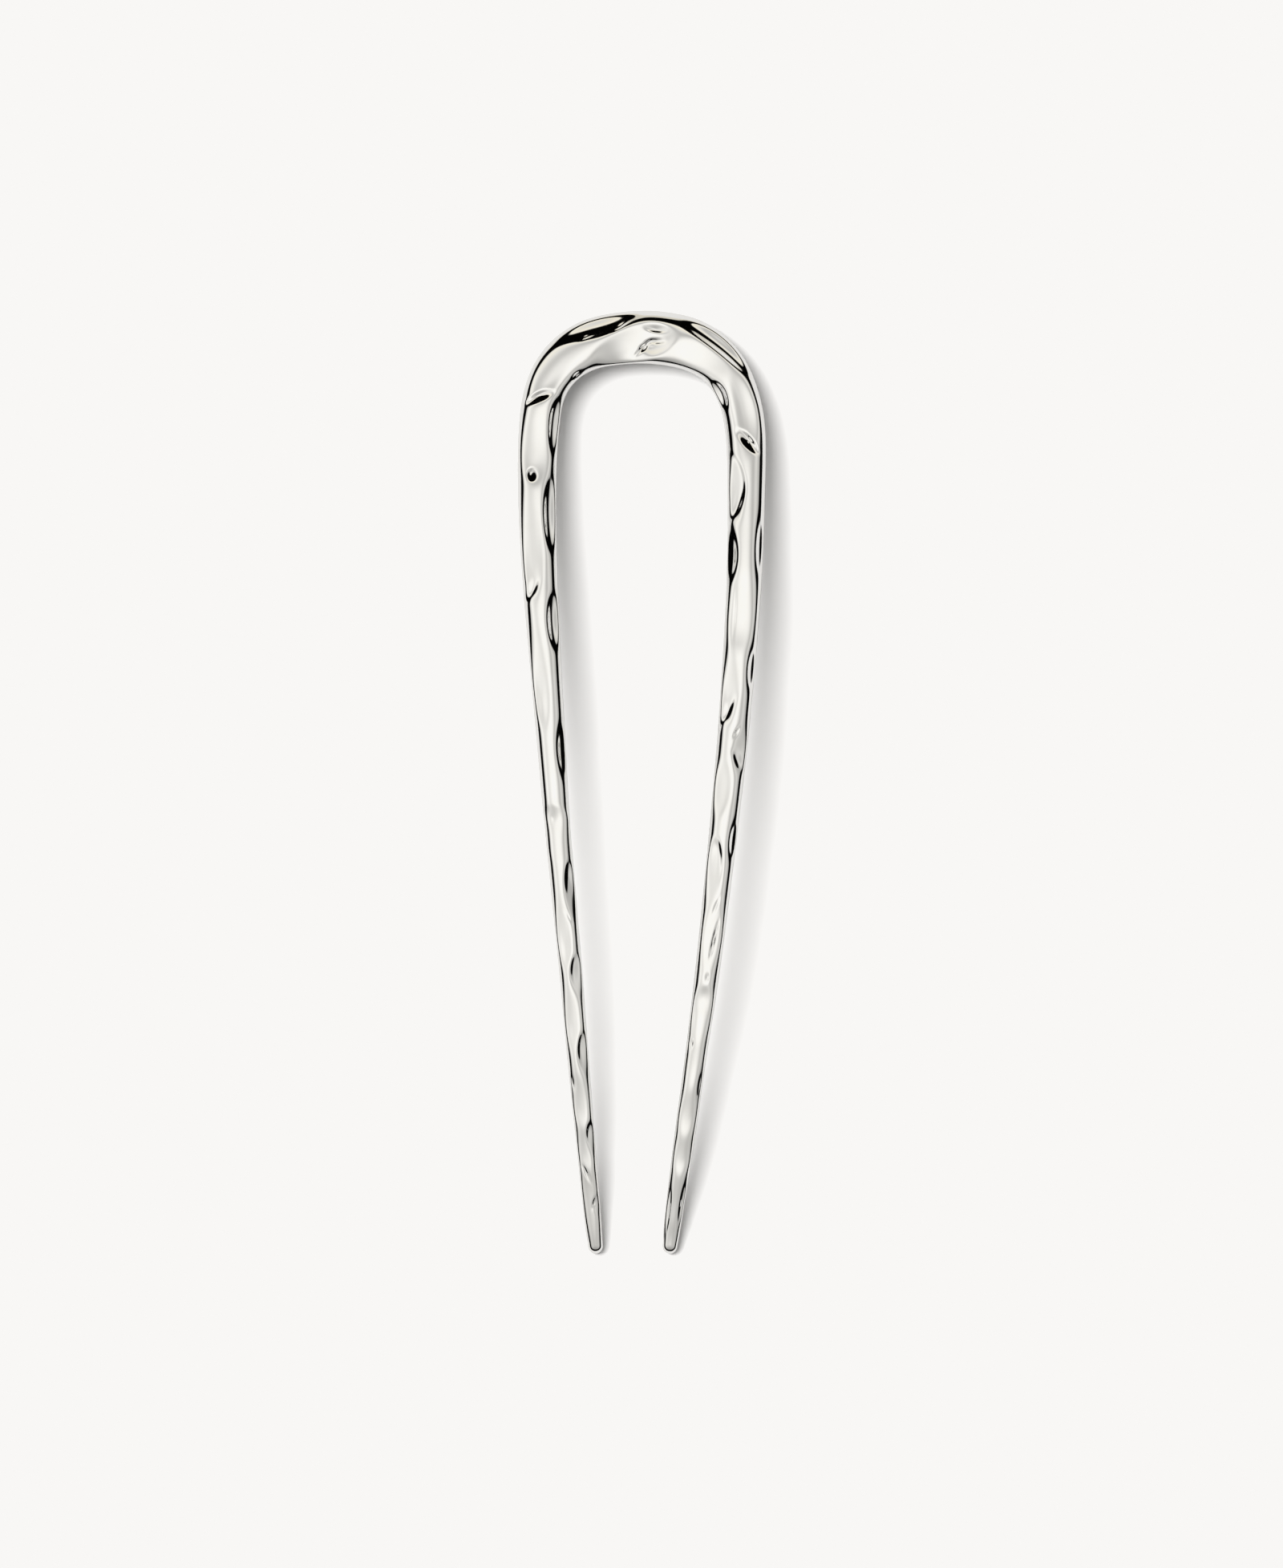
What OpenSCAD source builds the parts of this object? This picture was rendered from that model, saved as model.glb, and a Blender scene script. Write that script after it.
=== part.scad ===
// French hair pin. One solid bar of polished white metal is bent into a long U and beaten all
// over with shallow scoops. Both prongs taper to rounded tips, and the whole pin is bowed, so
// that it rests on its crown and its two tips while the middle of the prongs stands clear.
// The frame has +Y towards the crown, +X to the right and Z = 0 at the surface it lies on.

/* [Bar] */
// Scale of the bar's width, against the widths in STATIONS
width_scale = 1.0; // [0.9:0.05:1.1]
// Scale of the bar's thickness, against the thicknesses in STATIONS
thick_scale = 1.0; // [0.9:0.05:1.2]
// Shape of the section: 2 is an ellipse and more is flatter on top
squareness = 2.1; // [2:0.1:3]

/* [Bow] */
// Height by which bending lifts the middle of the prongs, in mm
bow_rise = 6.5; // [0:0.5:9]
// How far the top of the bow leans towards the tips, 0 for an even bow
bow_skew = 0.25; // [0:0.05:0.5]

/* [Hammer marks] */
// Scale of every hammer mark's depth
depth_scale = 1.0; // [0:0.1:1.2]
// Softness of the rims between marks, in mm
rim_round = 0.1; // [0.04:0.02:0.2]
// Depth of the plain marks along the underside, in mm
under_depth = 0.12; // [0:0.02:0.2]

/* [Fineness] */
// Number of sides round the section
sides = 20; // [12:2:24]
// Distance between sections along the bar, in mm
ring_pitch = 1.0; // [1:0.25:3]

/* [Hidden] */

// Stations along the bar's middle line, seen from above: from the left tip up the left prong,
// round the crown and down the right prong. The columns are X, Y, WIDTH and THICK, in mm.
X = 0;
Y = 1;
WIDTH = 2;
THICK = 3;
STATIONS = [
    [-6.5, -63.9, 2.1, 1.9],
    [-6.9, -60, 2.4, 2],
    [-7.9, -49, 2.7, 2.2],
    [-8.9, -38, 3, 2.4],
    [-9.8, -27, 3.2, 2.5],
    [-10.8, -16, 3.4, 2.6],
    [-11.8, -5, 3.6, 2.8],
    [-12.6, 6, 4, 3],
    [-13.4, 17, 4.4, 3.2],
    [-14.1, 28, 4.9, 3.5],
    [-14.5, 39, 5.3, 3.7],
    [-14.3, 48, 5.6, 3.9],
    [-13.4, 53.7, 5.8, 4.2],
    [-11.1, 57.6, 6.4, 4.4],
    [-7.4, 60.1, 7, 4.5],
    [-2.6, 61.1, 7.3, 4.5],
    [2.4, 61.1, 7.4, 4.5],
    [7, 60, 7.2, 4.5],
    [10.7, 57.4, 6.4, 4.4],
    [13, 53.4, 5.8, 4.2],
    [14.1, 48, 5.6, 3.9],
    [14.2, 39, 5.2, 3.7],
    [13.9, 28, 4.9, 3.5],
    [13.2, 17, 4.6, 3.2],
    [12.3, 6, 4.3, 3],
    [11.2, -5, 4, 2.9],
    [10, -16, 3.7, 2.7],
    [8.7, -27, 3.4, 2.6],
    [7.2, -38, 3, 2.4],
    [5.7, -49, 2.9, 2.2],
    [4.2, -60, 2.5, 2],
    [3.75, -63.9, 2.1, 1.9],
];

// The bow comes down to the surface at BOW_HALF each side of BOW_MID, counted in Y.
BOW_MID = -0.8;
BOW_HALF = 63.3;

// Hammer marks, each a shallow bowl in the bar's skin with an ellipse for its rim. The columns are
// ALONG, distance of its middle from the middle of the crown, in mm along the bar;
// ROUND, angle of its middle about the section, 0 on top and positive on the U's outer side;
// HALF_LENGTH in mm along the bar and HALF_SPREAD in degrees round the section;
// DEPTH in mm;
// TURN, degrees that its middle shifts round for each mm along;
// BEND, degrees that its middle shifts round for each square mm along;
// DEEP_ALONG and DEEP_ROUND, where its deepest point lies between its middle and its rim, -1 to 1.
ALONG = 0;
ROUND = 1;
HALF_LENGTH = 2;
HALF_SPREAD = 3;
DEPTH = 4;
TURN = 5;
BEND = 6;
DEEP_ALONG = 7;
DEEP_ROUND = 8;

// On the left prong ALONG grows towards the left tip.
LEFT_MARKS = [
    [13.3, 12, 5.2, 40, 0.35, 0, 0, 0.4, -0.2],
    [24.2, 8, 5.2, 45, 0.35, 0, 0, 0.4, 0],
    [38, 22, 7, 36, 0.35, 0, 0, 0.5, 0],
    [56, 26, 6.5, 32, 0.3, -1, 0, 0.4, 0],
    [77.3, 6, 4.2, 60, 0.4, -5, 0, -0.5, 0],
    [91.2, 16, 4.4, 36, 0.3, 0, 0, 0.3, 0],
    [103, 14, 4, 40, 0.26, 0, 0, 0.2, 0],
    [114.4, 12, 3.4, 44, 0.26, 0, 0, 0.2, 0],
    [120.8, 8, 3.2, 44, 0.23, 0, 0, 0.2, 0],
    [127.8, 8, 4.4, 46, 0.22, 0, 0, -0.3, 0],
    [21, -46, 4, 22, 0.4, 0, 0, 0, 0],
    [33.5, -43, 5, 28, 0.52, 0, 0, 0, 0],
    [48.3, -43, 3.8, 30, 0.52, 0, 0, 0, 0],
    [66, -50, 3.7, 33, 0.36, 0, 0, 0, 0],
    [85.6, -40, 4.1, 36, 0.34, 0, 0, -0.5, 0.1],
    [97, -33, 2.8, 38, 0.39, 0, 0, -0.4, 0.3],
    [107.8, -37, 2.9, 38, 0.38, 0, 0, -0.4, 0.3],
    [119.6, -39, 2.3, 37, 0.33, 0, 0, -0.4, 0.3],
    [128.9, -38, 1.2, 30, 0.22, 0, 0, -0.3, 0.3],
];

// On the crown ALONG runs from left, negative, to right.
CROWN_MARKS = [
    [-5.6, 33, 5.2, 25, 0.46, 0.4, 0.5, 0, 0],
    [9.9, 35, 4.6, 23, 0.56, 0.4, 0.4, 0, 0],
    [-1.7, -24, 6.6, 46, 0.74, 4, 0, 0.4, 0],
    [2.3, -28, 2.8, 20, 0.85, 0, 0, -0.6, 0.1],
    [8.5, -15, 4.5, 30, 0.25, 2, 0, 0, 0],
];

// On the right prong ALONG grows towards the right tip.
RIGHT_MARKS = [
    [15.6, -48, 2.4, 20, 0.4, 0, 0, 0, 0],
    [19.3, 9, 5.6, 32, 0.42, 0, 0, 0, 0],
    [30, -32, 4.2, 28, 0.38, 0, 0, 0.1, 0],
    [39, -50, 3.4, 29, 0.39, 0, 0, 0, 0],
    [37.6, 54, 3.8, 21, 0.22, 0, 0, 0, 0],
    [46.8, -4, 5, 46, 0.3, 0, 0, 0.3, 0],
    [54.3, 55, 2.8, 24, 0.25, 0, 0, 0, 0],
    [57.5, -28, 4.6, 34, 0.35, 0, 0, 0.5, 0],
    [65.4, 36, 3.2, 32, 0.3, 0, 0, 0.2, 0],
    [71, -26, 3.6, 38, 0.35, 0, 0, 0, 0],
    [77.9, 52, 2.5, 26, 0.26, 0, 0, 0, 0],
    [82.3, -24, 4.4, 36, 0.38, 0, 0, -0.6, 0.3],
    [91.3, 4, 4, 40, 0.3, 0, 0, 0, 0],
    [102.2, 0, 4, 50, 0.32, 0, 0, -0.5, 0],
    [108.8, -8, 2.8, 46, 0.14, 0, 0, 0, 0],
    [115.9, 4, 3.2, 50, 0.26, 0, 0, 0.2, 0],
    [121.4, 4, 2.8, 50, 0.23, 0, 0, 0.3, 0],
    [129, 0, 4.2, 60, 0.18, 0, 0, 0, 0],
    [133, 0, 1.9, 50, 0.14, 0, 0, 0, 0],
];

// Plain marks along the underside, staggered left and right.
UNDER_PITCH = 6.5;
UNDER_REACH = 120;
UNDER_ROUND = 158;
UNDER_HALF_LENGTH = 3.4;
UNDER_HALF_SPREAD = 34;
UNDER_MARKS = [
    for (k = [0 : 1 : 2 * UNDER_REACH / UNDER_PITCH])
        [k * UNDER_PITCH - UNDER_REACH, (k % 2 == 0 ? 1 : -1) * UNDER_ROUND,
         UNDER_HALF_LENGTH, UNDER_HALF_SPREAD, under_depth, 0, 0, 0, 0]
];

// A left-hand mark with its place counted the way the bar runs, from the left tip to the right.
function from_left(m) = [
    -m[ALONG], m[ROUND], m[HALF_LENGTH], m[HALF_SPREAD], m[DEPTH], -m[TURN], m[BEND],
    -m[DEEP_ALONG], m[DEEP_ROUND]
];

MARKS = concat([for (m = LEFT_MARKS) from_left(m)], CROWN_MARKS, RIGHT_MARKS, UNDER_MARKS);

// Middle line: a smooth curve through the stations, cut into even steps.
function flat_distance(p, q) = norm([q[X] - p[X], q[Y] - p[Y]]);

function on_curve(before, a, b, after, t) = 0.5 * (
    2 * a + (b - before) * t
    + (2 * before - 5 * a + 4 * b - after) * t * t
    + (3 * a - before - 3 * b + after) * t * t * t
);

LAST_STATION = len(STATIONS) - 1;

function station(k) =
    k < 0 ? 2 * STATIONS[0] - STATIONS[1] :
    k > LAST_STATION ? 2 * STATIONS[LAST_STATION] - STATIONS[LAST_STATION - 1] :
    STATIONS[k];

function steps_after(k) = max(1, round(flat_distance(station(k), station(k + 1)) / ring_pitch));

LINE = concat(
    [
        for (k = [0 : LAST_STATION - 1])
            let (steps = steps_after(k))
                for (j = [0 : steps - 1])
                    on_curve(station(k - 1), station(k), station(k + 1), station(k + 2), j / steps)
    ],
    [STATIONS[LAST_STATION]]
);
LAST = len(LINE) - 1;

// Distance of each section from the middle of the crown, along the bar.
RUN = [
    for (i = 0, run = 0; i <= LAST; run = run + flat_distance(LINE[i], LINE[min(i + 1, LAST)]), i = i + 1)
        run
];
PLACE = [for (run = RUN) run - RUN[LAST] / 2];

// Direction of travel at a section and, square to it, the direction to the U's outer side.
function heading(i) =
    let (step = LINE[min(i + 1, LAST)] - LINE[max(i - 1, 0)])
        [step[X], step[Y], 0] / norm([step[X], step[Y]]);
function outward(i) =
    let (h = heading(i))
        [-h[1], h[0], 0];

// Level of a point within a mark, in terms of its half length and half spread: 0 at the deepest
// point and 1 on the rim. The level lines are ellipses that close in on the deepest point.
function level(from_deepest, deepest) =
    let (
        lean = from_deepest * deepest,
        free = 1 - deepest * deepest
    )
        (lean + sqrt(lean * lean + free * from_deepest * from_deepest)) / free;

// Depth that a mark takes off the skin at a place and an angle.
function angle_gap(a, b) =
    let (gap = a - b)
        gap > 180 ? gap - 360 : gap < -180 ? gap + 360 : gap;
function mark_depth(m, place, angle) =
    let (
        offset = place - m[ALONG],
        middle = m[ROUND] + m[TURN] * offset + m[BEND] * offset * offset,
        deepest = [m[DEEP_ALONG], m[DEEP_ROUND]],
        spot = [offset / m[HALF_LENGTH], angle_gap(angle, middle) / m[HALF_SPREAD]]
    )
        depth_scale * m[DEPTH] * (1 - pow(level(spot - deepest, deepest), 2));

// Depth of all the marks together. Where marks meet, the deeper one wins, and rim_round blends them.
LEAST_POWER = -30;
function blend_share(cut) = exp(max(LEAST_POWER, cut / rim_round));
function cut_depth(near, place, angle) =
    len(near) == 0 ? 0 :
    rim_round * ln(1 + [for (m = near) blend_share(mark_depth(m, place, angle))] * [for (m = near) 1]);

// Marks that reach a place along the bar. A rim is soft a little way outside the mark.
MARK_REACH = 2;
SOFT_MARGIN = 0.3;
function marks_near(place) = [
    for (m = MARKS)
        if (abs(place - m[ALONG]) < m[HALF_LENGTH] * MARK_REACH + SOFT_MARGIN)
            m
];

// One point of a section, with its marks cut in, before the bar is bowed.
function signed_power(v, p) = sign(v) * pow(abs(v), p);
function skin_point(i, near, angle) =
    let (
        half_width = LINE[i][WIDTH] * width_scale / 2,
        half_thick = LINE[i][THICK] * thick_scale / 2,
        across = signed_power(sin(angle), 2 / squareness),
        up = signed_power(cos(angle), 2 / squareness),
        slope = [sin(angle) / half_width, cos(angle) / half_thick],
        cut = cut_depth(near, PLACE[i], angle) * slope / norm(slope)
    )
        [LINE[i][X], LINE[i][Y], half_thick]
        + outward(i) * (half_width * across - cut[0])
        + [0, 0, half_thick * up - cut[1]];

function section(i) =
    let (near = marks_near(PLACE[i]))
        [for (j = [0 : sides - 1]) skin_point(i, near, j * 360 / sides - (j * 2 > sides ? 360 : 0))];

BODY_RINGS = [for (i = [0 : LAST]) section(i)];

// Rounded tips: an end section shrinks over a quarter of an ellipse to one point.
TIP_ANGLES = [25, 50, 70, 82];
function tip_middle(i) = [LINE[i][X], LINE[i][Y], LINE[i][THICK] * thick_scale / 2];
function tip_reach(i) = LINE[i][WIDTH] * width_scale / 2;
function tip_ring(i, away, angle) =
    let (middle = tip_middle(i))
        [for (p = BODY_RINGS[i]) middle + (p - middle) * cos(angle) + away * tip_reach(i) * sin(angle)];
FIRST_AWAY = -heading(0);
LAST_AWAY = heading(LAST);
function end_point(i, away) = tip_middle(i) + away * tip_reach(i);

RINGS = concat(
    [for (k = [len(TIP_ANGLES) - 1 : -1 : 0]) tip_ring(0, FIRST_AWAY, TIP_ANGLES[k])],
    BODY_RINGS,
    [for (angle = TIP_ANGLES) tip_ring(LAST, LAST_AWAY, angle)]
);
FLAT_POINTS = concat(
    [for (ring = RINGS) each ring],
    [end_point(0, FIRST_AWAY), end_point(LAST, LAST_AWAY)]
);

// The bow, and then the shift that brings the box's middle to X = Y = 0 and its foot to Z = 0.
function bow_height(y) =
    let (share = (y - BOW_MID) / BOW_HALF)
        bow_rise * (1 - share * share) * (1 - bow_skew * share);
BOWED_POINTS = [for (p = FLAT_POINTS) [p[0], p[1], p[2] + bow_height(p[1])]];
function lowest(axis) = min([for (p = BOWED_POINTS) p[axis]]);
function highest(axis) = max([for (p = BOWED_POINTS) p[axis]]);
SHIFT = [-(lowest(0) + highest(0)) / 2, -(lowest(1) + highest(1)) / 2, -lowest(2)];
POINTS = [for (p = BOWED_POINTS) p + SHIFT];

// Triangles between neighbouring rings, and a fan at each tip.
RING_COUNT = len(RINGS);
FIRST_POLE = RING_COUNT * sides;
LAST_POLE = FIRST_POLE + 1;
function at(ring, j) = ring * sides + j % sides;
FACES = concat(
    [
        for (ring = [0 : RING_COUNT - 2])
            for (j = [0 : sides - 1])
                each [
                    [at(ring, j), at(ring + 1, j), at(ring + 1, j + 1)],
                    [at(ring, j), at(ring + 1, j + 1), at(ring, j + 1)]
                ]
    ],
    [for (j = [0 : sides - 1]) [FIRST_POLE, at(0, j), at(0, j + 1)]],
    [for (j = [0 : sides - 1]) [LAST_POLE, at(RING_COUNT - 1, j + 1), at(RING_COUNT - 1, j)]]
);

module hair_pin() {
    color([0.86, 0.86, 0.84])
        polyhedron(points = POINTS, faces = FACES, convexity = 10);
}

hair_pin();
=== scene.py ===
"""French hair pin: one bar of polished white metal, bent into a long U, beaten all over with
shallow scoops and bowed, lying on a pale floor and seen from straight above."""
import math

import bpy
import numpy as np
from mathutils import Matrix, Vector


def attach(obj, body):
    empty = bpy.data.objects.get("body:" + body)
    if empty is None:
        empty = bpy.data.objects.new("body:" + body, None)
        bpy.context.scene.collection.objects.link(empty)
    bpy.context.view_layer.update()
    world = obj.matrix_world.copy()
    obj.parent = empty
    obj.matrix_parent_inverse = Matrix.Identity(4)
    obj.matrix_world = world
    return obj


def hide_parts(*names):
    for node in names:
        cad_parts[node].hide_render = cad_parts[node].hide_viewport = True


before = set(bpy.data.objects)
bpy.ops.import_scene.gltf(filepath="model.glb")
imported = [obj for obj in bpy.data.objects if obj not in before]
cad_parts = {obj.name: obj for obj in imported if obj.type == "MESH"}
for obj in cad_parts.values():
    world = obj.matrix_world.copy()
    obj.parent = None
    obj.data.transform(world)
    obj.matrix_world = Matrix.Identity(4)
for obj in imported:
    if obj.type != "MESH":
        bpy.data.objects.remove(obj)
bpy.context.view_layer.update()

MM = 0.001

# Bar, in mm. Its section is a superellipse. The bow is a parabola along Y that leans to the tips.
SQUARENESS = 2.1
BOW_RISE = 6.5
BOW_MID = -0.8
BOW_HALF = 63.3
BOW_SKEW = 0.25

# Stations along the bar's middle line, from the left tip round the crown to the right tip.
# x, y, width, thickness
STATIONS = [
    [-6.5, -63.9, 2.1, 1.9],
    [-6.9, -60, 2.4, 2.0],
    [-7.9, -49, 2.7, 2.2],
    [-8.9, -38, 3.0, 2.4],
    [-9.8, -27, 3.2, 2.5],
    [-10.8, -16, 3.4, 2.6],
    [-11.8, -5, 3.6, 2.8],
    [-12.6, 6, 4.0, 3.0],
    [-13.4, 17, 4.4, 3.2],
    [-14.1, 28, 4.9, 3.5],
    [-14.5, 39, 5.3, 3.7],
    [-14.3, 48, 5.6, 3.9],
    [-13.4, 53.7, 5.8, 4.2],
    [-11.1, 57.6, 6.4, 4.4],
    [-7.4, 60.1, 7.0, 4.5],
    [-2.6, 61.1, 7.3, 4.5],
    [2.4, 61.1, 7.4, 4.5],
    [7.0, 60.0, 7.2, 4.5],
    [10.7, 57.4, 6.4, 4.4],
    [13.0, 53.4, 5.8, 4.2],
    [14.1, 48, 5.6, 3.9],
    [14.2, 39, 5.2, 3.7],
    [13.9, 28, 4.9, 3.5],
    [13.2, 17, 4.6, 3.2],
    [12.3, 6, 4.3, 3.0],
    [11.2, -5, 4.0, 2.9],
    [10.0, -16, 3.7, 2.7],
    [8.7, -27, 3.4, 2.6],
    [7.2, -38, 3.0, 2.4],
    [5.7, -49, 2.9, 2.2],
    [4.2, -60, 2.5, 2.0],
    [3.75, -63.9, 2.1, 1.9],
]

# Marks beaten into the skin: shallow scoops, and nicks, which are sharper and mostly smaller.
# Places along the bar are in mm from the crown's middle, down each prong, and on the crown itself
# from left to right. Angles round the bar are in degrees from its top, positive on the U's outer
# side. A mark's middle turns by so many degrees a mm, and bends by so many a mm squared. Its
# deepest point lies off its middle by shares of its half length and of its half spread.
# along, round, half length, half spread, depth, turn, bend, deepest along, deepest round
LEFT_MARKS = [
    [13.3, 12, 5.2, 40, 0.35, 0, 0, 0.4, -0.2],
    [24.2, 8, 5.2, 45, 0.35, 0, 0, 0.4, 0],
    [38.0, 22, 7.0, 36, 0.35, 0, 0, 0.5, 0],
    [56.0, 26, 6.5, 32, 0.3, -1, 0, 0.4, 0],
    [91.2, 16, 4.4, 36, 0.3, 0, 0, 0.3, 0],
    [103.0, 14, 4.0, 40, 0.26, 0, 0, 0.2, 0],
    [114.4, 12, 3.4, 44, 0.26, 0, 0, 0.2, 0],
    [120.8, 8, 3.2, 44, 0.23, 0, 0, 0.2, 0],
    [127.8, 8, 4.4, 46, 0.22, 0, 0, -0.3, 0],
    [21.0, -46, 4.0, 22, 0.4, 0, 0, 0, 0],
    [33.5, -43, 5.0, 28, 0.52, 0, 0, 0, 0],
    [48.3, -43, 3.8, 30, 0.52, 0, 0, 0, 0],
    [66.0, -50, 3.7, 33, 0.36, 0, 0, 0, 0],
    [85.6, -40, 4.1, 36, 0.34, 0, 0, -0.5, 0.1],
    [97.0, -33, 2.8, 38, 0.39, 0, 0, -0.4, 0.3],
    [107.8, -37, 2.9, 38, 0.38, 0, 0, -0.4, 0.3],
    [119.6, -39, 2.3, 37, 0.33, 0, 0, -0.4, 0.3],
    [128.9, -38, 1.2, 30, 0.22, 0, 0, -0.3, 0.3],
]
CROWN_MARKS = [
    [-5.6, 33, 5.2, 25, 0.46, 0.4, 0.5, 0, 0],
    [9.9, 35, 4.6, 23, 0.56, 0.4, 0.4, 0, 0],
    [-1.7, -24, 6.6, 46, 0.74, 4, 0, 0.4, 0],
    [8.5, -15, 4.5, 30, 0.25, 2, 0, 0, 0],
]
RIGHT_MARKS = [
    [15.6, -48, 2.4, 20, 0.4, 0, 0, 0, 0],
    [19.3, 9, 5.6, 32, 0.42, 0, 0, 0, 0],
    [30.0, -32, 4.2, 28, 0.38, 0, 0, 0.1, 0],
    [39.0, -50, 3.4, 29, 0.39, 0, 0, 0, 0],
    [37.6, 54, 3.8, 21, 0.22, 0, 0, 0, 0],
    [46.8, -4, 5.0, 46, 0.3, 0, 0, 0.3, 0],
    [54.3, 55, 2.8, 24, 0.25, 0, 0, 0, 0],
    [57.5, -28, 4.6, 34, 0.35, 0, 0, 0.5, 0],
    [65.4, 36, 3.2, 32, 0.3, 0, 0, 0.2, 0],
    [71.0, -26, 3.6, 38, 0.35, 0, 0, 0, 0],
    [77.9, 52, 2.5, 26, 0.26, 0, 0, 0, 0],
    [82.3, -24, 4.4, 36, 0.38, 0, 0, -0.6, 0.3],
    [91.3, 4, 4.0, 40, 0.3, 0, 0, 0, 0],
    [102.2, 0, 4.0, 50, 0.32, 0, 0, -0.5, 0],
    [108.8, -8, 2.8, 46, 0.14, 0, 0, 0, 0],
    [115.9, 4, 3.2, 50, 0.26, 0, 0, 0.2, 0],
    [121.4, 4, 2.8, 50, 0.23, 0, 0, 0.3, 0],
    [129.0, 0, 4.2, 60, 0.18, 0, 0, 0, 0],
    [133.0, 0, 1.9, 50, 0.14, 0, 0, 0, 0],
]
LEFT_NICKS = [
    [17.4, 10, 1.5, 23, 0.48, 21, 0, 0, 0.4],
    [28.1, 15, 1.0, 18, 0.52, 0, 0, -0.2, 0.4],
    [43.8, 31, 1.8, 22, 0.2, 14, 0, 0.2, -0.2],
    [77.3, 6, 4.0, 90, 0.46, -5, 0, -0.5, 0],
    [88.9, -15, 0.9, 8, 0.09, -14, 0, 0, 0],
    [111.6, 38, 1.0, 14, 0.08, 0, 0, 0, 0.6],
    [124.2, 14, 1.4, 16, 0.19, -18, 0, -0.3, 0],
    [128.4, -24, 0.9, 16, 0.13, 22, 0, 0, 0.3],
    [11.6, -54, 1.4, 12, 0.15, 0, 0, 0, 0],
]
CROWN_NICKS = [
    [2.3, -28, 2.8, 20, 0.28, 0, 0, -0.72, 0.1],
    [0.2, -28, 1.5, 11, 0.3, 17, 0, 0, 0],
    [1.8, -10, 1.6, 9, 0.36, 2, 0, 0, 0.2],
    [1.8, 20, 1.8, 11, 0.39, -1, 0, 0, -0.3],
    [-7.4, 19, 1.0, 5, 0.1, 0, 0, 0, 0],
    [-2.8, 28, 1.2, 6, 0.14, 10, 0, 0, -0.5],
]
RIGHT_NICKS = [
    [23.2, 4, 1.9, 21, 0.56, 14, 0, 0, 0.35],
    [47.2, -26, 3.4, 5, 0.09, 0, 0, 0, 0],
    [30.3, -20, 5.8, 21, 0.2, -4.5, -1.8, -0.1, 0.4],
    [60.6, -36, 2.7, 19, 0.15, -12, 0, 0, 0.3],
    [63.2, 12, 0.9, 9, 0.2, -12, 0, 0, 0],
    [66.6, 26, 1.5, 21, 0.14, 14, 0, 0, -0.3],
    [87.1, 4, 1.3, 8, 0.14, -8, 0, 0, 0],
    [91.8, 14, 2.8, 11, 0.26, -4, 0, 0, 0],
    [97.0, 0, 0.8, 12, 0.17, 0, 0, 0, 0.5],
    [102.7, -34, 2.4, 9, 0.04, 3, 0, 0, 0],
    [106.3, -32, 0.8, 13, 0.12, 0, 0, 0, 0],
    [111.8, 42, 2.4, 16, 0.09, 0, 0, 0, 0.3],
    [128.4, 42, 3.2, 22, 0.18, 0, 0, 0, 0.35],
    [129.6, -46, 3.4, 22, 0.16, 0, 0, 0, 0.4],
]

# Plain marks along the underside, staggered left and right. The shape holds a mark's columns from
# its half length on.
UNDER_PITCH = 6.5
UNDER_REACH = 120
UNDER_ROUND = 158
UNDER_SHAPE = [3.4, 34, 0.12, 0, 0, 0, 0]

# Form of a mark: the power of its bowl, and in mm how round its rim is.
SCOOP_POWER = 2
SCOOP_RIM = 0.1
NICK_POWER = 1.1
NICK_RIM = 0.03

# A mark is worked out up to MARK_REACH half lengths and MARK_MARGIN mm from its middle.
MARK_REACH = 2.0
MARK_MARGIN = 0.3

# Fineness of the mesh: the pitch of its rings in mm, closer where Y is above CROWN_STARTS, and
# the points round a section, most of them within TOP_REACH degrees of its top.
RING_PITCH = 0.27
CROWN_PITCH = 0.165
CROWN_STARTS = 36
TOP_REACH = 100
TOP_SIDES = 70
UNDER_SIDES = 10
TIP_RINGS = 9


def from_left(mark):
    """A left-hand mark with its place counted from the left tip to the right one."""
    along, angle, length, spread, depth, turn, bend, deep_along, deep_round = mark
    return [-along, angle, length, spread, depth, -turn, bend, -deep_along, deep_round]


def under_marks():
    """Marks of the underside, on its outer and inner side by turns."""
    count = int(2 * UNDER_REACH / UNDER_PITCH) + 1
    return [
        [k * UNDER_PITCH - UNDER_REACH, UNDER_ROUND if k % 2 == 0 else -UNDER_ROUND] + UNDER_SHAPE
        for k in range(count)
    ]


SCOOPS = [from_left(m) for m in LEFT_MARKS] + CROWN_MARKS + RIGHT_MARKS + under_marks()
NICKS = [from_left(m) for m in LEFT_NICKS] + CROWN_NICKS + RIGHT_NICKS


def middle_line():
    """Catmull-Rom curve through the stations: rows of x, y, width, thickness, closer by the
    crown."""
    stations = np.array(STATIONS, float)
    first = 2 * stations[0] - stations[1]
    last = 2 * stations[-1] - stations[-2]
    knots = np.vstack([first, stations, last])
    rows = []
    for before, a, b, after in zip(knots, knots[1:], knots[2:], knots[3:]):
        pitch = CROWN_PITCH if min(a[1], b[1]) > CROWN_STARTS else RING_PITCH
        steps = max(1, round(math.dist(a[:2], b[:2]) / pitch))
        for t in np.arange(steps) / steps:
            rows.append(
                0.5 * (2 * a + (b - before) * t
                       + (2 * before - 5 * a + 4 * b - after) * t ** 2
                       + (3 * a - before - 3 * b + after) * t ** 3)
            )
    rows.append(stations[-1])
    return np.array(rows)


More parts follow.
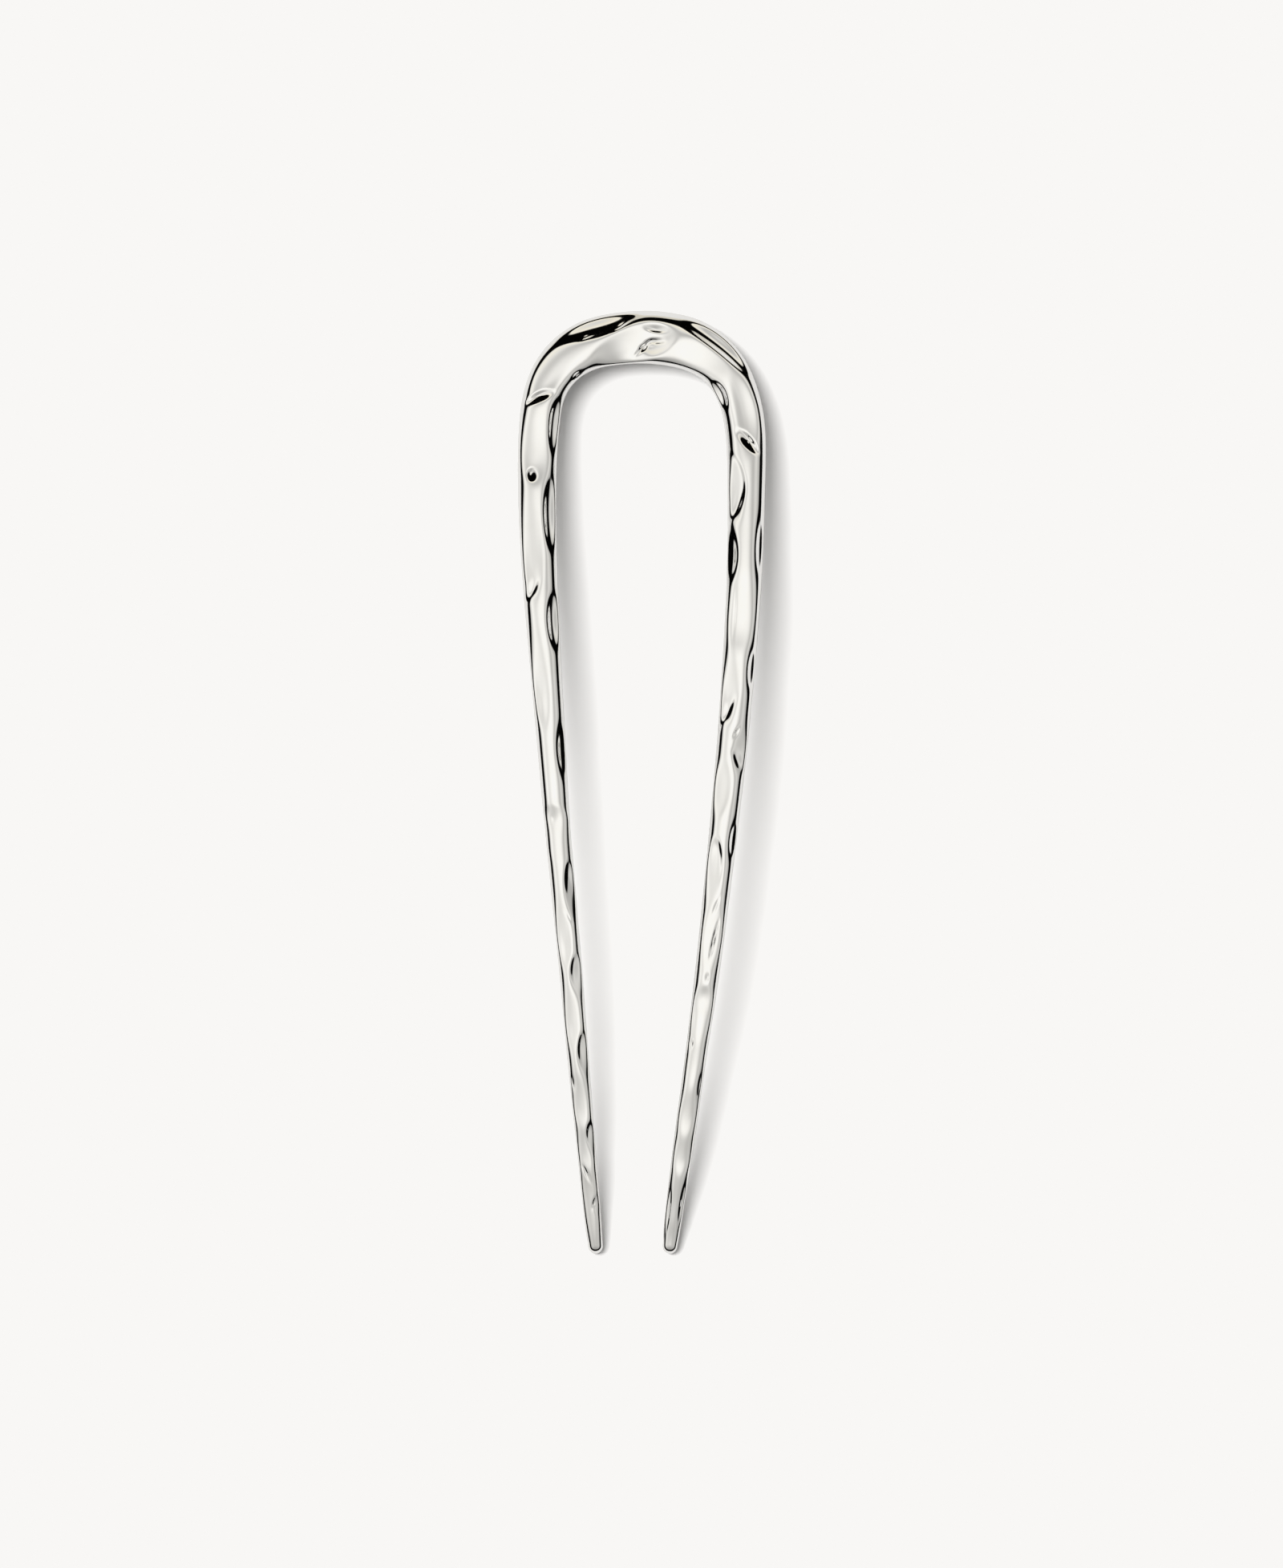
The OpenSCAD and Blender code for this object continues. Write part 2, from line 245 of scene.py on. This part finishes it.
def marks_near(marks, place, angle, power):
    """For each mark: the rows it reaches and the depth it takes off there. Its level lines are
    ellipses that close in on its deepest point."""
    for along, middle, length, spread, depth, turn, bend, deep_along, deep_round in marks:
        reach = length * MARK_REACH + MARK_MARGIN
        near = np.where(np.abs(place[:, 0] - along) < reach)[0]
        if len(near) == 0:
            continue
        offset = place[near] - along
        gap = (angle - middle - turn * offset - bend * offset ** 2 + 180) % 360 - 180
        u = offset / length - deep_along
        v = gap / spread - deep_round
        lean = u * deep_along + v * deep_round
        free = 1 - deep_along ** 2 - deep_round ** 2
        level = (lean + np.sqrt(lean ** 2 + free * (u ** 2 + v ** 2))) / free
        yield near, depth * (1 - level ** power)


def softened(cut, rim):
    """Exponential of a depth. The logarithm of a sum of these is a maximum with a round rim."""
    return np.exp(cut / rim)


def depth_of_marks(place, angle):
    """Depth taken off the skin, for a column of places and a row of angles. Scoops share their
    rims, and the nicks are cut deeper into them."""
    total = np.zeros((len(place), angle.shape[1]))
    for near, cut in marks_near(SCOOPS, place, angle, SCOOP_POWER):
        total[near] += softened(cut, SCOOP_RIM)
    total = SCOOP_RIM * np.log1p(total)
    for near, cut in marks_near(NICKS, place, angle, NICK_POWER):
        total[near] += NICK_RIM * np.log1p(softened(cut, NICK_RIM))
    return total


def signed_power(value, power):
    return np.sign(value) * np.abs(value) ** power


def section_angles():
    """Row of angles round a section, in degrees from its top."""
    top = np.linspace(-TOP_REACH, TOP_REACH, TOP_SIDES)
    under = np.linspace(TOP_REACH, 360 - TOP_REACH, UNDER_SIDES + 2)[1:-1]
    return np.concatenate([top, under])[None, :]


def places_along(line):
    """Column of the rows' places along the line, from its middle."""
    step = np.linalg.norm(np.diff(line[:, :2], axis=0), axis=1)
    place = np.concatenate([[0], np.cumsum(step)])
    return (place - place[-1] / 2)[:, None]


def bar_rings(line, heading):
    """Rings of points round the unbowed bar, one for each row of the line, with the marks cut
    about at right angles to the skin."""
    outward = np.column_stack([-heading[:, 1], heading[:, 0]])
    half_width = line[:, 2:3] / 2
    half_thick = line[:, 3:4] / 2
    angle = section_angles()
    sine = np.sin(np.radians(angle))
    cosine = np.cos(np.radians(angle))
    slope_out = sine / half_width
    slope_up = cosine / half_thick
    slope = np.hypot(slope_out, slope_up)
    cut = depth_of_marks(places_along(line), angle)
    out = half_width * signed_power(sine, 2 / SQUARENESS) - cut * slope_out / slope
    up = half_thick * signed_power(cosine, 2 / SQUARENESS) - cut * slope_up / slope
    rings = np.empty(out.shape + (3,))
    rings[..., 0] = line[:, 0:1] + outward[:, 0:1] * out
    rings[..., 1] = line[:, 1:2] + outward[:, 1:2] * out
    rings[..., 2] = half_thick + up
    return rings


def rounded_tip(ring, row, onward):
    """Rings that close a tip, from the bar's last ring on, and the point at its end."""
    x, y, width, thickness = row
    middle = np.array([x, y, thickness / 2])
    away = np.append(onward, 0) * (width / 2)
    turns = np.radians(np.linspace(0, 90, TIP_RINGS + 2)[1:-1])
    cap = [middle + (ring - middle) * math.cos(t) + away * math.sin(t) for t in turns]
    return cap, middle + away


def bowed(points):
    """The points lifted into the bow and moved, so that their box lies on the floor and is
    centred on the origin."""
    reach = (points[:, 1] - BOW_MID) / BOW_HALF
    points[:, 2] += BOW_RISE * (1 - reach ** 2) * (1 - BOW_SKEW * reach)
    low = points.min(axis=0)
    high = points.max(axis=0)
    return points - [(low[0] + high[0]) / 2, (low[1] + high[1]) / 2, low[2]]


def pin_points():
    """All the pin's points in mm, ring by ring and then its two end points, with the number of
    rings and of points in a ring."""
    line = middle_line()
    travel = np.gradient(line[:, :2], axis=0)
    heading = travel / np.linalg.norm(travel, axis=1)[:, None]
    rings = bar_rings(line, heading)
    left_cap, left_end = rounded_tip(rings[0], line[0], -heading[0])
    right_cap, right_end = rounded_tip(rings[-1], line[-1], heading[-1])
    rings = np.concatenate([left_cap[::-1], rings, right_cap])
    points = np.vstack([rings.reshape(-1, 3), left_end, right_end])
    return bowed(points), rings.shape[0], rings.shape[1]


def make_mesh(name, points, faces):
    mesh = bpy.data.meshes.new(name)
    mesh.from_pydata([tuple(p) for p in points], [], faces)
    mesh.validate()
    mesh.shade_smooth()
    made = bpy.data.objects.new(name, mesh)
    bpy.context.scene.collection.objects.link(made)
    return made


def make_pin():
    points, ring_count, sides = pin_points()
    faces = []
    for ring in range(ring_count - 1):
        here = ring * sides
        there = here + sides
        for j in range(sides):
            k = (j + 1) % sides
            faces.append((here + j, here + k, there + k, there + j))
    left_end = ring_count * sides
    right_end = left_end + 1
    last_ring = (ring_count - 1) * sides
    for j in range(sides):
        k = (j + 1) % sides
        faces.append((left_end, k, j))
        faces.append((right_end, last_ring + j, last_ring + k))
    return make_mesh("beaten_pin", points * MM, faces)


class Wire:
    """A number in a node tree. Arithmetic on wires adds Math nodes."""

    def __init__(self, tree, socket):
        self.tree = tree
        self.socket = socket

    def math(self, operation, *others):
        node = self.tree.nodes.new("ShaderNodeMath")
        node.operation = operation
        for k, value in enumerate((self,) + others):
            if isinstance(value, Wire):
                self.tree.links.new(value.socket, node.inputs[k])
            else:
                node.inputs[k].default_value = value
        return Wire(self.tree, node.outputs[0])

    def __add__(self, other):
        return self.math("ADD", other)

    def __sub__(self, other):
        return self.math("SUBTRACT", other)

    def __mul__(self, other):
        return self.math("MULTIPLY", other)

    def __truediv__(self, other):
        return self.math("DIVIDE", other)

    def __neg__(self):
        return self * -1.0

    def flipped(self, total=1.0):
        """The total less this number."""
        return -self + total

    def clipped(self):
        """This number kept between 0 and 1."""
        return self.math("MAXIMUM", 0.0).math("MINIMUM", 1.0)

    def smooth_step(self, low, high):
        """0 below low and 1 above high, where both may be wires."""
        t = ((self - low) / (high - low)).clipped()
        return t * t * ((t * -2.0) + 3.0)


# Studio that the metal mirrors, by the angle from straight up in degrees and by the side it lies
# on. The tent is white above, with a faint grey ring and a shade towards the tips, and grows
# darker towards a black gap low down. The bright room shows below that gap.
TENT_WHITE = 0.985
RING_ANGLE = 30
RING_WIDTH = 12
RING_DEPTH = {"crown": 0.27, "tips": 0.0, "left": 0.09, "right": 0.25}
TIPS_SHADE = 0.3
TIPS_SHADE_STARTS = 12.0
TIPS_SHADE_ENDS = 42.0
FADE_DEPTH = {"crown": 0.0, "tips": 0.10, "left": 0.25, "right": 0.33}
FADE_WIDTH = {"crown": 5, "tips": 34, "left": 18, "right": 34}
GAP_BLACK = 0.04
GAP_STARTS = {"crown": 56, "tips": 69, "left": 63, "right": 65}
GAP_ENDS = {"crown": 79, "tips": 90, "left": 87, "right": 89}
GAP_EDGE_BEFORE = 3.0
GAP_EDGE_AFTER = 2.0
ROOM_TONE = 0.82
ROOM_RISE = 0.14
ROOM_RISE_WIDTH = 22.0
ROOM_EDGE = 1.5

# The tones above are a picture's, so a gamma turns them into light. Its tint is warmer low down
# on the crown's side.
TONE_GAMMA = 2.2
REFLECTED_GAIN = 1.06
LIGHT_TINT = (1.0, 0.985, 0.95)
WARM_DROP = (0.10, 0.13, 0.21)
WARM_STARTS = 38.0
WARM_ENDS = 46.0

# Fill light that the floor gets. FILL_FROM points to its middle and FILL_FOCUS narrows it. Only
# a share of it, METAL_BOUNCE, comes to the floor by way of the metal.
FILL_FROM = (-0.43, 0.27, 0.86)
FILL_FOCUS = 2.0
FILL_SHARE = 1.58
METAL_BOUNCE = 0.1

# What the camera itself sees beyond the floor.
BACKDROP = (0.92, 0.915, 0.90)

# Added to a direction's distance from the upright, so that it can be divided by.
LEAST_FLAT = 1e-6


def side_share(toward):
    """Share of a side: 1 straight towards it and 0 from a right angle on."""
    share = toward.clipped()
    return share * share


def by_side(sides, values):
    """The sides' values, mixed by their shares."""
    total = None
    for side, share in sides.items():
        part = share * values[side]
        total = part if total is None else total + part
    return total


def studio_tone(zenith, sides):
    """Tone of the tent, of the gap under it and of the room below."""
    off_ring = (zenith - RING_ANGLE) / RING_WIDTH
    ring = (-(off_ring * off_ring)).math("EXPONENT")
    tent = (ring * by_side(sides, RING_DEPTH)).flipped(TENT_WHITE)
    tips_shade = sides["tips"] * zenith.smooth_step(TIPS_SHADE_STARTS, TIPS_SHADE_ENDS)
    tent = tent - tips_shade * TIPS_SHADE
    starts = by_side(sides, GAP_STARTS)
    ends = by_side(sides, GAP_ENDS)
    fade = zenith.smooth_step(starts - by_side(sides, FADE_WIDTH), starts)
    tent = tent - fade * by_side(sides, FADE_DEPTH)
    in_gap = zenith.smooth_step(starts - GAP_EDGE_BEFORE, starts + GAP_EDGE_AFTER)
    tone = tent - (tent - GAP_BLACK) * in_gap
    in_room = zenith.smooth_step(ends - ROOM_EDGE, ends + ROOM_EDGE)
    room = zenith.smooth_step(ends, ends + ROOM_RISE_WIDTH) * ROOM_RISE + ROOM_TONE
    return tone + (room - tone) * in_room


def studio_colour(tree, x, y, z):
    """Colour of the studio's light in a direction."""
    zenith = z.math("ARCCOSINE") * (180 / math.pi)
    flat = (x * x + y * y).math("SQRT") + LEAST_FLAT
    east = x / flat
    north = y / flat
    sides = {
        "crown": side_share(north),
        "tips": side_share(-north),
        "left": side_share(-east),
        "right": side_share(east),
    }
    light = studio_tone(zenith, sides).math("POWER", TONE_GAMMA) * REFLECTED_GAIN
    warm = sides["crown"] * zenith.smooth_step(WARM_STARTS, WARM_ENDS)
    colour = tree.nodes.new("ShaderNodeCombineColor")
    for k, (tint, drop) in enumerate(zip(LIGHT_TINT, WARM_DROP)):
        tree.links.new((light * (warm * -drop + tint)).socket, colour.inputs[k])
    return colour.outputs[0]


def fill_strength(x, y, z, glossy):
    """Strength of the fill light from a direction."""
    toward = (x * FILL_FROM[0] + y * FILL_FROM[1] + z * FILL_FROM[2]).clipped()
    kept = (glossy * (1 - METAL_BOUNCE)).flipped()
    return toward.math("POWER", FILL_FOCUS) * FILL_SHARE * kept


def mixed(tree, share, first, second):
    """The first light where the share is 0 and the second where it is 1."""
    node = tree.nodes.new("ShaderNodeMixShader")
    for k, socket in enumerate((share, first, second)):
        tree.links.new(socket, node.inputs[k])
    return node.outputs[0]


def make_world():
    """Camera rays see the backdrop, rays from the floor the fill and rays from the metal the
    studio."""
    world = bpy.data.worlds.new("studio")
    bpy.context.scene.world = world
    world.use_nodes = True
    tree = world.node_tree
    tree.nodes.clear()
    place = tree.nodes.new("ShaderNodeTexCoord")
    split = tree.nodes.new("ShaderNodeSeparateXYZ")
    tree.links.new(place.outputs["Generated"], split.inputs[0])
    x, y, z = (Wire(tree, split.outputs[k]) for k in range(3))
    path = tree.nodes.new("ShaderNodeLightPath")
    glossy = Wire(tree, path.outputs["Is Glossy Ray"])
    bounced = Wire(tree, path.outputs["Diffuse Depth"]).math("MINIMUM", 1.0)

    studio = tree.nodes.new("ShaderNodeBackground")
    tree.links.new(studio_colour(tree, x, y, z), studio.inputs["Color"])
    fill = tree.nodes.new("ShaderNodeBackground")
    fill.inputs["Color"].default_value = (*LIGHT_TINT, 1)
    tree.links.new(fill_strength(x, y, z, glossy).socket, fill.inputs["Strength"])
    backdrop = tree.nodes.new("ShaderNodeBackground")
    backdrop.inputs["Color"].default_value = (*BACKDROP, 1)

    lit = mixed(tree, bounced.socket, studio.outputs[0], fill.outputs[0])
    seen = mixed(tree, path.outputs["Is Camera Ray"], lit, backdrop.outputs[0])
    out = tree.nodes.new("ShaderNodeOutputWorld")
    tree.links.new(seen, out.inputs[0])


def new_material(name):
    material = bpy.data.materials.new(name)
    material.use_nodes = True
    tree = material.node_tree
    shader = next(n for n in tree.nodes if n.type == "BSDF_PRINCIPLED")
    return material, tree, shader


def noise(tree, scale, detail):
    place = tree.nodes.new("ShaderNodeTexCoord")
    node = tree.nodes.new("ShaderNodeTexNoise")
    node.inputs["Scale"].default_value = scale
    node.inputs["Detail"].default_value = detail
    tree.links.new(place.outputs["Object"], node.inputs["Vector"])
    return node.outputs["Fac"]


def ramp(tree, factor, stops):
    """Colour by a factor, from two stops of a position and a colour."""
    node = tree.nodes.new("ShaderNodeValToRGB")
    for element, (position, colour) in zip(node.color_ramp.elements, stops):
        element.position = position
        element.color = (*colour, 1)
    tree.links.new(factor, node.inputs[0])
    return node.outputs[0]


# Polished metal: its tone, its roughness and its skin each vary faintly with a noise of its own
# scale and detail. A stop is a noise and the value there. The skin's depth is in mm.
METAL_NOISE = (260, 3)
METAL_STOPS = ((0.35, (0.93, 0.925, 0.905)), (0.65, (0.95, 0.947, 0.935)))
ROUGHNESS_NOISE = (420, 4)
ROUGHNESS_STOPS = ((0.3, (0.03, 0.03, 0.03)), (0.75, (0.07, 0.07, 0.07)))
SKIN_NOISE = (900, 2)
SKIN_STRENGTH = 0.04
SKIN_DEPTH = 0.02


def polished_metal():
    material, tree, shader = new_material("polished_metal")
    shader.inputs["Metallic"].default_value = 1
    tone = ramp(tree, noise(tree, *METAL_NOISE), METAL_STOPS)
    tree.links.new(tone, shader.inputs["Base Color"])
    roughness = ramp(tree, noise(tree, *ROUGHNESS_NOISE), ROUGHNESS_STOPS)
    tree.links.new(roughness, shader.inputs["Roughness"])
    bump = tree.nodes.new("ShaderNodeBump")
    bump.inputs["Strength"].default_value = SKIN_STRENGTH
    bump.inputs["Distance"].default_value = SKIN_DEPTH * MM
    tree.links.new(noise(tree, *SKIN_NOISE), bump.inputs["Height"])
    tree.links.new(bump.outputs[0], shader.inputs["Normal"])
    return material


# Floor: a matt disc, in metres, with a faint noise in its paint. In the rays that the metal
# mirrors its paint is darker by MIRRORED_FLOOR_DROP: a painted shade in the metal's reflection of
# the floor.
FLOOR_REACH = 3.0
FLOOR_SIDES = 96
FLOOR_NOISE = (6, 2)
FLOOR_STOPS = ((0.3, (0.862, 0.862, 0.868)), (0.7, (0.868, 0.868, 0.874)))
FLOOR_ROUGHNESS = 0.9
MIRRORED_FLOOR_DROP = 0.38


def floor_paint():
    material, tree, shader = new_material("floor_paint")
    tone = ramp(tree, noise(tree, *FLOOR_NOISE), FLOOR_STOPS)
    # Painted shade: the paint is darker in rays off the metal, so the metal mirrors a darker
    # floor.
    path = tree.nodes.new("ShaderNodeLightPath")
    share = (Wire(tree, path.outputs["Is Glossy Ray"]) * MIRRORED_FLOOR_DROP).flipped()
    dimmed = tree.nodes.new("ShaderNodeVectorMath")
    dimmed.operation = "SCALE"
    tree.links.new(tone, dimmed.inputs[0])
    tree.links.new(share.socket, dimmed.inputs["Scale"])
    tree.links.new(dimmed.outputs[0], shader.inputs["Base Color"])
    shader.inputs["Roughness"].default_value = FLOOR_ROUGHNESS
    shader.inputs["Specular IOR Level"].default_value = 0.0
    return material


def make_floor():
    rim = [
        (FLOOR_REACH * math.cos(a), FLOOR_REACH * math.sin(a), 0)
        for a in (k * 2 * math.pi / FLOOR_SIDES for k in range(FLOOR_SIDES))
    ]
    made = make_mesh("floor", rim, [tuple(range(FLOOR_SIDES))])
    made.data.materials.append(floor_paint())


# Key lights: broad and soft, from up to the left and a little from the crown's end. They light
# the floor and don't show in the metal.
# place that each shines from, spread in degrees, power
KEYS = [
    [Vector((-0.5, 0.32, 1.0)), 40, 2.32],
    [Vector((-0.9, 0.4, 1.0)), 30, 0.88],
]
KEY_TINT = (1.0, 0.99, 0.975)


def make_keys():
    for place, spread, power in KEYS:
        lamp = bpy.data.lights.new("key", "SUN")
        lamp.angle = math.radians(spread)
        lamp.energy = power
        lamp.color = KEY_TINT
        made = bpy.data.objects.new("key", lamp)
        made.location = place
        made.rotation_mode = "QUATERNION"
        made.rotation_quaternion = place.to_track_quat("Z", "Y")
        made.visible_glossy = False
        bpy.context.scene.collection.objects.link(made)


# Camera, in metres: straight above, far off with a long lens. The picture's height takes in
# VIEW_HEIGHT at FOCUS_HEIGHT over the floor, and the sensor's side, in mm, lies along it.
VIEW_HEIGHT = 0.2152
VIEW_MIDDLE = (-0.00004, -0.00024)
CAMERA_RISE = 1.5
FOCUS_HEIGHT = 0.006
SENSOR = 36.0
NEAREST = 0.01
FARTHEST = 10


def make_camera():
    data = bpy.data.cameras.new("camera")
    data.sensor_width = SENSOR
    data.lens = SENSOR * (CAMERA_RISE - FOCUS_HEIGHT) / VIEW_HEIGHT
    data.clip_start = NEAREST
    data.clip_end = FARTHEST
    made = bpy.data.objects.new("camera", data)
    made.matrix_world = Matrix.Translation((*VIEW_MIDDLE, CAMERA_RISE))
    bpy.context.scene.collection.objects.link(made)
    bpy.context.scene.camera = made


# Paper white: the picture's top tone. The floor in full light lies above it, as in a photograph
# on white paper, so that only the shadows' cores show.
PAPER_WHITE = (0.939, 0.930, 0.913)


def cut_highlights():
    view = bpy.context.scene.view_settings
    view.view_transform = "Standard"
    view.use_curve_mapping = True
    view.curve_mapping.extend = "HORIZONTAL"
    for curve, top in zip(view.curve_mapping.curves, PAPER_WHITE):
        curve.points[1].location = (top, top)
    view.curve_mapping.update()


pin = make_pin()
pin.data.materials.append(polished_metal())
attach(pin, "root")
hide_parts("hair_pin")
make_floor()
make_world()
make_keys()
make_camera()
cut_highlights()
